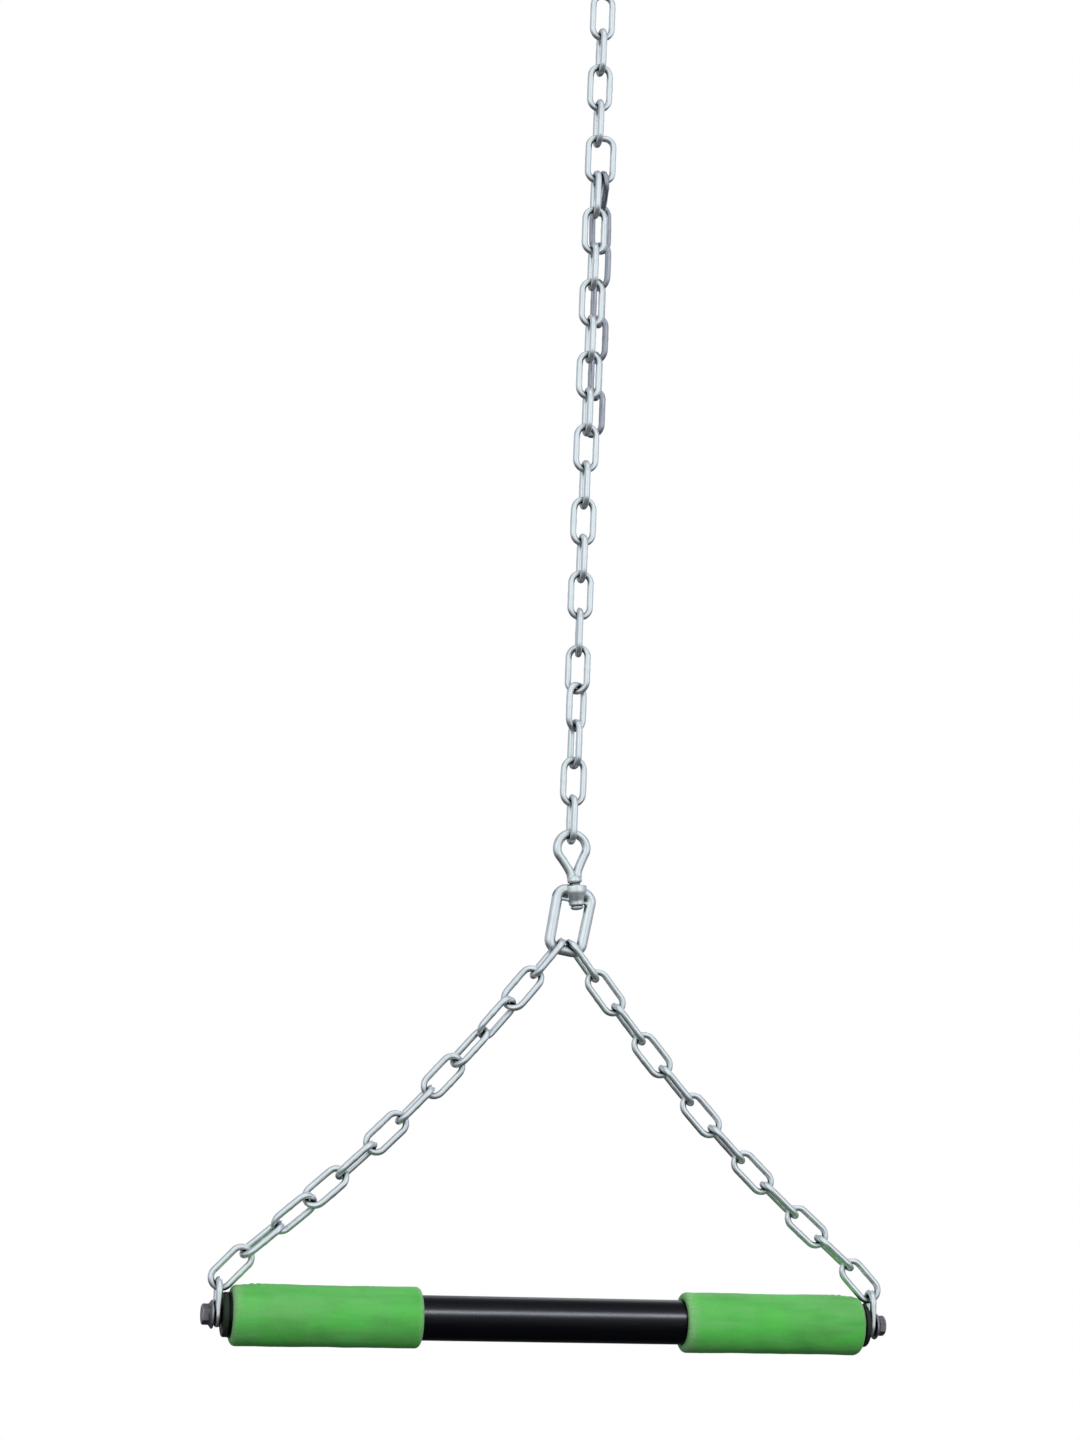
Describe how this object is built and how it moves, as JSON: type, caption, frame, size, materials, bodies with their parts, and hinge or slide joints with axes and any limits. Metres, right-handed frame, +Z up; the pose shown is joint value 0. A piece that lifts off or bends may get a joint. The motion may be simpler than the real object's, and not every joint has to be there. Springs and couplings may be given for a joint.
{
  "type": "hanging trapeze bar",
  "caption": "Padded grip bar hung at both ends from a two-legged chain bridle, a swivel and a drop chain with a spare length.",
  "frame": {"origin": "the hanging seat: middle of the inside upper crown face of the top chain link", "axes": "+Z up along the hanging chain, +X along the grip bar, +Y to the back, where the spare chain hangs"},
  "size_m": [0.5044, 0.0536, 1.0106],
  "materials": {
    "chain_zinc": "bright zinc plate, slightly dulled",
    "swivel_zinc": "bright zinc plate, smooth",
    "tube_coat": "semi-gloss black powder coat",
    "grip_foam": "matt closed-cell foam",
    "plug_plastic": "moulded black plastic",
    "bolt_steel": "dark zinc plate"
  },
  "bodies": {
    "top_link": {"top_link": "chain_zinc"},
    "chain_link_02": {"chain_link_02": "chain_zinc"},
    "chain_link_03": {"chain_link_03": "chain_zinc"},
    "chain_link_04": {"chain_link_04": "chain_zinc"},
    "connector_link": {"connector_link": "chain_zinc"},
    "chain_link_06": {"chain_link_06": "chain_zinc"},
    "chain_link_07": {"chain_link_07": "chain_zinc"},
    "chain_link_08": {"chain_link_08": "chain_zinc"},
    "chain_link_09": {"chain_link_09": "chain_zinc"},
    "chain_link_10": {"chain_link_10": "chain_zinc"},
    "chain_link_11": {"chain_link_11": "chain_zinc"},
    "chain_link_12": {"chain_link_12": "chain_zinc"},
    "chain_link_13": {"chain_link_13": "chain_zinc"},
    "chain_link_14": {"chain_link_14": "chain_zinc"},
    "chain_link_15": {"chain_link_15": "chain_zinc"},
    "chain_link_16": {"chain_link_16": "chain_zinc"},
    "chain_link_17": {"chain_link_17": "chain_zinc"},
    "chain_link_18": {"chain_link_18": "chain_zinc"},
    "chain_link_19": {"chain_link_19": "chain_zinc"},
    "chain_link_20": {"chain_link_20": "chain_zinc"},
    "chain_link_21": {"chain_link_21": "chain_zinc"},
    "chain_link_22": {"chain_link_22": "chain_zinc"},
    "chain_link_23": {"chain_link_23": "chain_zinc"},
    "spare_upper": {"spare_chain_upper": "chain_zinc"},
    "spare_lower": {"spare_chain_lower": "chain_zinc"},
    "swivel_eye": {"swivel_eye": "swivel_zinc"},
    "swivel_bail": {"swivel_bail": "swivel_zinc"},
    "left_link_01": {"left_link_01": "chain_zinc"},
    "left_link_02": {"left_link_02": "chain_zinc"},
    "left_link_03": {"left_link_03": "chain_zinc"},
    "left_link_04": {"left_link_04": "chain_zinc"},
    "left_link_05": {"left_link_05": "chain_zinc"},
    "left_link_06": {"left_link_06": "chain_zinc"},
    "left_link_07": {"left_link_07": "chain_zinc"},
    "left_link_08": {"left_link_08": "chain_zinc"},
    "left_link_09": {"left_link_09": "chain_zinc"},
    "left_link_10": {"left_link_10": "chain_zinc"},
    "left_link_11": {"left_link_11": "chain_zinc"},
    "left_link_12": {"left_link_12": "chain_zinc"},
    "left_end_link": {"left_end_link": "chain_zinc"},
    "right_link_01": {"right_link_01": "chain_zinc"},
    "right_link_02": {"right_link_02": "chain_zinc"},
    "right_link_03": {"right_link_03": "chain_zinc"},
    "right_link_04": {"right_link_04": "chain_zinc"},
    "right_link_05": {"right_link_05": "chain_zinc"},
    "right_link_06": {"right_link_06": "chain_zinc"},
    "right_link_07": {"right_link_07": "chain_zinc"},
    "right_link_08": {"right_link_08": "chain_zinc"},
    "right_link_09": {"right_link_09": "chain_zinc"},
    "right_link_10": {"right_link_10": "chain_zinc"},
    "right_link_11": {"right_link_11": "chain_zinc"},
    "right_link_12": {"right_link_12": "chain_zinc"},
    "right_end_link": {"right_end_link": "chain_zinc"},
    "grip_bar": {"bar_tube": "tube_coat", "left_grip": "grip_foam", "right_grip": "grip_foam", "left_plug": "plug_plastic", "right_plug": "plug_plastic", "left_bolt": "bolt_steel", "right_bolt": "bolt_steel"}
  },
  "joints": [
    {"name": "swing_fore_aft", "type": "hinge", "parent": "top_link", "child": "chain_link_02", "pos_m": [0, 0, -0.03053], "axis": [1, 0, 0], "range_deg": [-40, 40]},
    {"name": "swing_side", "type": "hinge", "parent": "chain_link_02", "child": "chain_link_03", "pos_m": [0, 0, -0.05823], "axis": [0, 1, 0], "range_deg": [-35, 35]},
    {"name": "bend_fore_aft", "type": "hinge", "parent": "chain_link_03", "child": "chain_link_04", "pos_m": [0, 0, -0.08593], "axis": [1, 0, 0], "range_deg": [-4, 4]},
    {"name": "bend_side", "type": "hinge", "parent": "chain_link_04", "child": "connector_link", "pos_m": [0, 0, -0.11363], "axis": [0, 1, 0], "range_deg": [-4, 4]},
    {"name": "hook_06", "type": "hinge", "parent": "connector_link", "child": "chain_link_06", "pos_m": [0, 0, -0.14133], "axis": [1, 0, 0], "range_deg": [-4, 4]},
    {"name": "hook_07", "type": "hinge", "parent": "chain_link_06", "child": "chain_link_07", "pos_m": [0, 0, -0.16903], "axis": [0, 1, 0], "range_deg": [-4, 4]},
    {"name": "hook_08", "type": "hinge", "parent": "chain_link_07", "child": "chain_link_08", "pos_m": [0, 0, -0.19673], "axis": [1, 0, 0], "range_deg": [-4, 4]},
    {"name": "hook_09", "type": "hinge", "parent": "chain_link_08", "child": "chain_link_09", "pos_m": [0, 0, -0.22443], "axis": [0, 1, 0], "range_deg": [-4, 4]},
    {"name": "hook_10", "type": "hinge", "parent": "chain_link_09", "child": "chain_link_10", "pos_m": [0, 0, -0.25213], "axis": [1, 0, 0], "range_deg": [-4, 4]},
    {"name": "hook_11", "type": "hinge", "parent": "chain_link_10", "child": "chain_link_11", "pos_m": [0, 0, -0.27983], "axis": [0, 1, 0], "range_deg": [-4, 4]},
    {"name": "hook_12", "type": "hinge", "parent": "chain_link_11", "child": "chain_link_12", "pos_m": [0, 0, -0.30753], "axis": [1, 0, 0], "range_deg": [-4, 4]},
    {"name": "hook_13", "type": "hinge", "parent": "chain_link_12", "child": "chain_link_13", "pos_m": [0, 0, -0.33523], "axis": [0, 1, 0], "range_deg": [-4, 4]},
    {"name": "hook_14", "type": "hinge", "parent": "chain_link_13", "child": "chain_link_14", "pos_m": [0, 0, -0.36293], "axis": [1, 0, 0], "range_deg": [-4, 4]},
    {"name": "hook_15", "type": "hinge", "parent": "chain_link_14", "child": "chain_link_15", "pos_m": [0, 0, -0.39063], "axis": [0, 1, 0], "range_deg": [-4, 4]},
    {"name": "hook_16", "type": "hinge", "parent": "chain_link_15", "child": "chain_link_16", "pos_m": [0, 0, -0.41833], "axis": [1, 0, 0], "range_deg": [-4, 4]},
    {"name": "hook_17", "type": "hinge", "parent": "chain_link_16", "child": "chain_link_17", "pos_m": [0, 0, -0.44603], "axis": [0, 1, 0], "range_deg": [-4, 4]},
    {"name": "hook_18", "type": "hinge", "parent": "chain_link_17", "child": "chain_link_18", "pos_m": [0, 0, -0.47373], "axis": [1, 0, 0], "range_deg": [-4, 4]},
    {"name": "hook_19", "type": "hinge", "parent": "chain_link_18", "child": "chain_link_19", "pos_m": [0, 0, -0.50143], "axis": [0, 1, 0], "range_deg": [-4, 4]},
    {"name": "hook_20", "type": "hinge", "parent": "chain_link_19", "child": "chain_link_20", "pos_m": [0, 0, -0.52913], "axis": [1, 0, 0], "range_deg": [-4, 4]},
    {"name": "hook_21", "type": "hinge", "parent": "chain_link_20", "child": "chain_link_21", "pos_m": [0, 0, -0.55683], "axis": [0, 1, 0], "range_deg": [-4, 4]},
    {"name": "hook_22", "type": "hinge", "parent": "chain_link_21", "child": "chain_link_22", "pos_m": [0, 0, -0.58453], "axis": [0, 1, 0], "range_deg": [-4, 4]},
    {"name": "hook_23", "type": "hinge", "parent": "chain_link_22", "child": "chain_link_23", "pos_m": [0, 0, -0.61223], "axis": [1, 0, 0], "range_deg": [-4, 4]},
    {"name": "eye_hook", "type": "hinge", "parent": "chain_link_23", "child": "swivel_eye", "pos_m": [0, 0, -0.63993], "axis": [0, 1, 0], "range_deg": [-4, 4]},
    {"name": "spare_upper_hook", "type": "hinge", "parent": "connector_link", "child": "spare_upper", "pos_m": [0.0059, 0, -0.14133], "axis": [1, 0, 0], "range_deg": [-6, 6]},
    {"name": "spare_lower_hook", "type": "hinge", "parent": "spare_upper", "child": "spare_lower", "pos_m": [0.0103, 0.02209, -0.24645], "axis": [1, 0, 0], "range_deg": [-7.2, 7.2]},
    {"name": "swivel_spin", "type": "hinge", "parent": "swivel_eye", "child": "swivel_bail", "pos_m": [0.00475, 0, -0.67601], "axis": [0.1305, 0, -0.9914], "continuous": true},
    {"name": "bridle_swing", "type": "hinge", "parent": "swivel_bail", "child": "left_link_01", "pos_m": [-0.00213, 0, -0.71947], "axis": [0.9877, 0, -0.1564], "range_deg": [-12, 12]},
    {"name": "right_leg_swing", "type": "hinge", "parent": "swivel_bail", "child": "right_link_01", "pos_m": [-0.00213, 0, -0.71947], "axis": [0.9877, 0, -0.1564], "range_deg": [-12, 12]},
    {"name": "left_leg_twist", "type": "hinge", "parent": "left_link_01", "child": "left_link_02", "pos_m": [-0.02143, 0, -0.73512], "axis": [-0.6924, 0, -0.7215], "range_deg": [0, 4.5]},
    {"name": "left_hook_03", "type": "hinge", "parent": "left_link_02", "child": "left_link_03", "pos_m": [-0.0395, 0, -0.75741], "axis": [-0.6924, 0, -0.7215], "range_deg": [0, 4.51]},
    {"name": "left_hook_04", "type": "hinge", "parent": "left_link_03", "child": "left_link_04", "pos_m": [-0.05792, 0, -0.77943], "axis": [-0.6924, 0, -0.7215], "range_deg": [0, 4.51]},
    {"name": "left_hook_05", "type": "hinge", "parent": "left_link_04", "child": "left_link_05", "pos_m": [-0.07676, 0, -0.80108], "axis": [-0.6924, 0, -0.7215], "range_deg": [0, 4.51]},
    {"name": "left_hook_06", "type": "hinge", "parent": "left_link_05", "child": "left_link_06", "pos_m": [-0.09597, 0, -0.8224], "axis": [-0.6924, 0, -0.7215], "range_deg": [-6.76, 0]},
    {"name": "left_hook_07", "type": "hinge", "parent": "left_link_06", "child": "left_link_07", "pos_m": [-0.1157, 0, -0.84324], "axis": [-0.6924, 0, -0.7215], "range_deg": [-6.76, 0]},
    {"name": "left_hook_08", "type": "hinge", "parent": "left_link_07", "child": "left_link_08", "pos_m": [-0.136, 0, -0.86353], "axis": [-0.6924, 0, -0.7215], "range_deg": [0, 4.51]},
    {"name": "left_hook_09", "type": "hinge", "parent": "left_link_08", "child": "left_link_09", "pos_m": [-0.15686, 0, -0.88324], "axis": [-0.6924, 0, -0.7215], "range_deg": [-7.4, 0]},
    {"name": "left_hook_10", "type": "hinge", "parent": "left_link_09", "child": "left_link_10", "pos_m": [-0.1782, 0, -0.90244], "axis": [-0.6924, 0, -0.7215], "range_deg": [0, 4.51]},
    {"name": "left_hook_11", "type": "hinge", "parent": "left_link_10", "child": "left_link_11", "pos_m": [-0.19996, 0, -0.92114], "axis": [-0.6924, 0, -0.7215], "range_deg": [0, 4.51]},
    {"name": "left_hook_12", "type": "hinge", "parent": "left_link_11", "child": "left_link_12", "pos_m": [-0.2218, 0, -0.93977], "axis": [-0.6924, 0, -0.7215], "range_deg": [-6.12, 0]},
    {"name": "left_end_hook", "type": "hinge", "parent": "left_link_12", "child": "left_end_link", "pos_m": [-0.24167, 0, -0.96048], "axis": [-0.6924, 0, -0.7215], "range_deg": [-4.51, 0]},
    {"name": "right_leg_twist", "type": "hinge", "parent": "right_link_01", "child": "right_link_02", "pos_m": [0.01931, 0, -0.73589], "axis": [0.6949, 0, -0.7191], "range_deg": [-10, 10]},
    {"name": "right_hook_03", "type": "hinge", "parent": "right_link_02", "child": "right_link_03", "pos_m": [0.03746, 0, -0.75812], "axis": [0.6949, 0, -0.7191], "range_deg": [-10.01, 10.01]},
    {"name": "right_hook_04", "type": "hinge", "parent": "right_link_03", "child": "right_link_04", "pos_m": [0.05596, 0, -0.78007], "axis": [0.6949, 0, -0.7191], "range_deg": [-10.01, 10.01]},
    {"name": "right_hook_05", "type": "hinge", "parent": "right_link_04", "child": "right_link_05", "pos_m": [0.07487, 0, -0.80165], "axis": [0.6949, 0, -0.7191], "range_deg": [-10.01, 10.01]},
    {"name": "right_hook_06", "type": "hinge", "parent": "right_link_05", "child": "right_link_06", "pos_m": [0.09416, 0, -0.82291], "axis": [0.6949, 0, -0.7191], "range_deg": [-10.01, 10.01]},
    {"name": "right_hook_07", "type": "hinge", "parent": "right_link_06", "child": "right_link_07", "pos_m": [0.11396, 0, -0.84368], "axis": [0.6949, 0, -0.7191], "range_deg": [-10.01, 10.01]},
    {"name": "right_hook_08", "type": "hinge", "parent": "right_link_07", "child": "right_link_08", "pos_m": [0.13433, 0, -0.8639], "axis": [0.6949, 0, -0.7191], "range_deg": [-10.01, 10.01]},
    {"name": "right_hook_09", "type": "hinge", "parent": "right_link_08", "child": "right_link_09", "pos_m": [0.15526, 0, -0.88354], "axis": [0.6949, 0, -0.7191], "range_deg": [-10.01, 10.01]},
    {"name": "right_hook_10", "type": "hinge", "parent": "right_link_09", "child": "right_link_10", "pos_m": [0.17666, 0, -0.90266], "axis": [0.6949, 0, -0.7191], "range_deg": [-10.01, 10.01]},
    {"name": "right_hook_11", "type": "hinge", "parent": "right_link_10", "child": "right_link_11", "pos_m": [0.19849, 0, -0.92129], "axis": [0.6949, 0, -0.7191], "range_deg": [-10.01, 10.01]},
    {"name": "right_hook_12", "type": "hinge", "parent": "right_link_11", "child": "right_link_12", "pos_m": [0.22039, 0, -0.93984], "axis": [0.6949, 0, -0.7191], "range_deg": [-5.01, 5.01]},
    {"name": "right_end_hook", "type": "hinge", "parent": "right_link_12", "child": "right_end_link", "pos_m": [0.24033, 0, -0.96048], "axis": [0.6949, 0, -0.7191], "range_deg": [-5.01, 5.01]},
    {"name": "bar_spin", "type": "hinge", "parent": "left_link_01", "child": "grip_bar", "pos_m": [-0.24167, 0, -0.98448], "axis": [1, 0, 0], "continuous": true}
  ],
  "couplings": [
    {"joint": "hook_06", "follows": "bend_fore_aft", "ratio": 1},
    {"joint": "hook_07", "follows": "bend_side", "ratio": 1},
    {"joint": "hook_08", "follows": "bend_fore_aft", "ratio": 1},
    {"joint": "hook_09", "follows": "bend_side", "ratio": 1},
    {"joint": "hook_10", "follows": "bend_fore_aft", "ratio": 1},
    {"joint": "hook_11", "follows": "bend_side", "ratio": 1},
    {"joint": "hook_12", "follows": "bend_fore_aft", "ratio": 1},
    {"joint": "hook_13", "follows": "bend_side", "ratio": 1},
    {"joint": "hook_14", "follows": "bend_fore_aft", "ratio": 1},
    {"joint": "hook_15", "follows": "bend_side", "ratio": 1},
    {"joint": "hook_16", "follows": "bend_fore_aft", "ratio": 1},
    {"joint": "hook_17", "follows": "bend_side", "ratio": 1},
    {"joint": "hook_18", "follows": "bend_fore_aft", "ratio": 1},
    {"joint": "hook_19", "follows": "bend_side", "ratio": 1},
    {"joint": "hook_20", "follows": "bend_fore_aft", "ratio": 1},
    {"joint": "hook_21", "follows": "bend_side", "ratio": 1},
    {"joint": "hook_22", "follows": "bend_side", "ratio": 1},
    {"joint": "hook_23", "follows": "bend_fore_aft", "ratio": 1},
    {"joint": "eye_hook", "follows": "bend_side", "ratio": 1},
    {"joint": "spare_upper_hook", "follows": "bend_fore_aft", "ratio": 1.5},
    {"joint": "spare_lower_hook", "follows": "bend_fore_aft", "ratio": 1.8},
    {"joint": "right_leg_swing", "follows": "bridle_swing", "ratio": 1},
    {"joint": "left_hook_03", "follows": "left_leg_twist", "ratio": 1},
    {"joint": "left_hook_04", "follows": "left_leg_twist", "ratio": 1},
    {"joint": "left_hook_05", "follows": "left_leg_twist", "ratio": 1},
    {"joint": "left_hook_06", "follows": "left_leg_twist", "ratio": -1.5},
    {"joint": "left_hook_07", "follows": "left_leg_twist", "ratio": -1.5},
    {"joint": "left_hook_08", "follows": "left_leg_twist", "ratio": 1},
    {"joint": "left_hook_09", "follows": "left_leg_twist", "ratio": -1.6418},
    {"joint": "left_hook_10", "follows": "left_leg_twist", "ratio": 1},
    {"joint": "left_hook_11", "follows": "left_leg_twist", "ratio": 1},
    {"joint": "left_hook_12", "follows": "left_leg_twist", "ratio": -1.3582},
    {"joint": "left_end_hook", "follows": "left_leg_twist", "ratio": -1},
    {"joint": "right_hook_03", "follows": "right_leg_twist", "ratio": -1},
    {"joint": "right_hook_04", "follows": "right_leg_twist", "ratio": 1},
    {"joint": "right_hook_05", "follows": "right_leg_twist", "ratio": -1},
    {"joint": "right_hook_06", "follows": "right_leg_twist", "ratio": 1},
    {"joint": "right_hook_07", "follows": "right_leg_twist", "ratio": -1},
    {"joint": "right_hook_08", "follows": "right_leg_twist", "ratio": 1},
    {"joint": "right_hook_09", "follows": "right_leg_twist", "ratio": -1},
    {"joint": "right_hook_10", "follows": "right_leg_twist", "ratio": 1},
    {"joint": "right_hook_11", "follows": "right_leg_twist", "ratio": -1},
    {"joint": "right_hook_12", "follows": "right_leg_twist", "ratio": 0.5},
    {"joint": "right_end_hook", "follows": "right_leg_twist", "ratio": -0.5}
  ]
}
